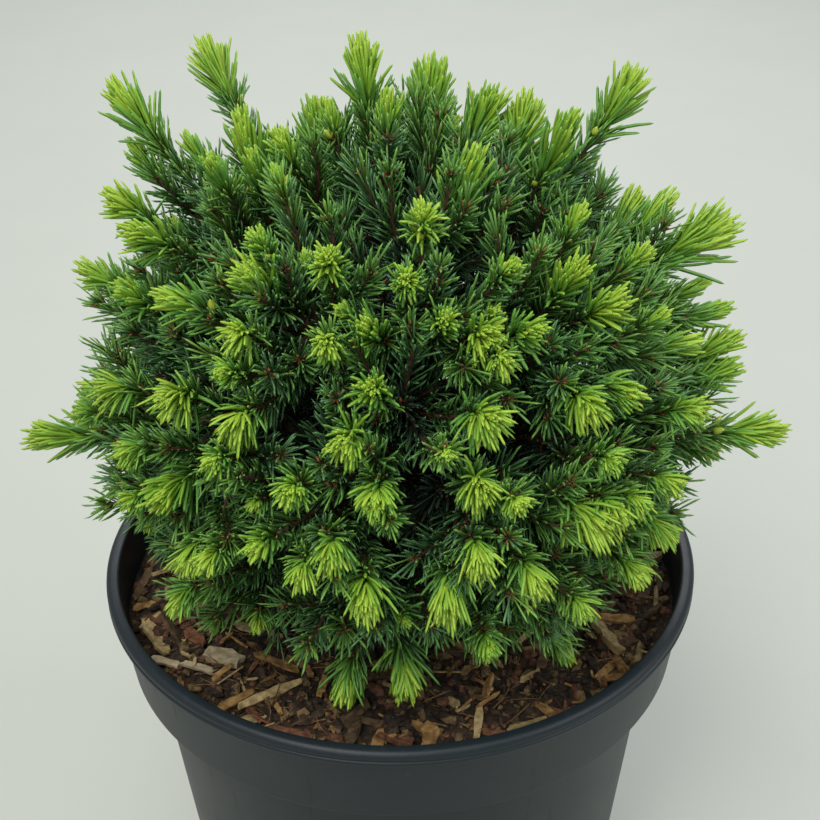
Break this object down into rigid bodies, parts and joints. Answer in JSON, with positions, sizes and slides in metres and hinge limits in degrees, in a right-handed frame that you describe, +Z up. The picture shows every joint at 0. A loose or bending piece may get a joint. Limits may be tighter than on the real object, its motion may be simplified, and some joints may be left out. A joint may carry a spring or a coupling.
{
  "type": "potted dwarf white spruce",
  "caption": "Low globe of short spruce shoots tipped with fresh yellow-green needles, on a short trunk in a round nursery pot of potting mix.",
  "frame": {"origin": "middle of the pot's flat underside", "axes": "+Z up along the pot, -Y towards the side that the picture is taken from, +X to its right"},
  "size_m": [0.2243, 0.2026, 0.3153],
  "materials": {
    "pot_plastic": "dark grey moulded plastic, satin on the lip",
    "potting_mix": "damp dark mix under brown bark chips",
    "bark": "thin grey-brown bark, red-brown on young twigs",
    "needles": "dark green mature needles with bright yellow-green new ones at the tips"
  },
  "bodies": {
    "root": {"pot": "pot_plastic", "potting_mix": "potting_mix", "trunk": "bark", "bough_tall_left": "bark", "bough_upper_left": "bark", "bough_front_left_top": "bark", "bough_front_top": "bark", "bough_front_crest": "bark", "bough_right_top": "bark", "bough_tall_right": "bark", "bough_back_top": "bark", "bough_front_upper": "bark", "bough_left_upper": "bark", "bough_far_left": "bark", "bough_front_left": "bark", "bough_front_middle": "bark", "bough_front_right": "bark", "bough_right_front": "bark", "bough_far_right": "bark", "bough_right_upper": "bark", "bough_back_right": "bark", "bough_back_middle": "bark", "bough_back_left": "bark", "bough_low_front_left": "bark", "bough_low_front": "bark", "bough_low_front_right": "bark", "bough_low_right": "bark", "bough_low_back_right": "bark", "bough_low_back": "bark", "bough_low_back_left": "bark", "bough_low_left": "bark", "needles_crown_top": "needles", "needles_tall_left": "needles", "needles_upper_left": "needles", "needles_front_left_top": "needles", "needles_front_top": "needles", "needles_front_crest": "needles", "needles_right_top": "needles", "needles_tall_right": "needles", "needles_back_top": "needles", "needles_front_upper": "needles", "needles_left_upper": "needles", "needles_far_left": "needles", "needles_front_left": "needles", "needles_front_middle": "needles", "needles_front_right": "needles", "needles_right_front": "needles", "needles_far_right": "needles", "needles_right_upper": "needles", "needles_back_right": "needles", "needles_back_middle": "needles", "needles_back_left": "needles", "needles_low_front_left": "needles", "needles_low_front": "needles", "needles_low_front_right": "needles", "needles_low_right": "needles", "needles_low_back_right": "needles", "needles_low_back": "needles", "needles_low_back_left": "needles", "needles_low_left": "needles"}
  },
  "joints": []
}
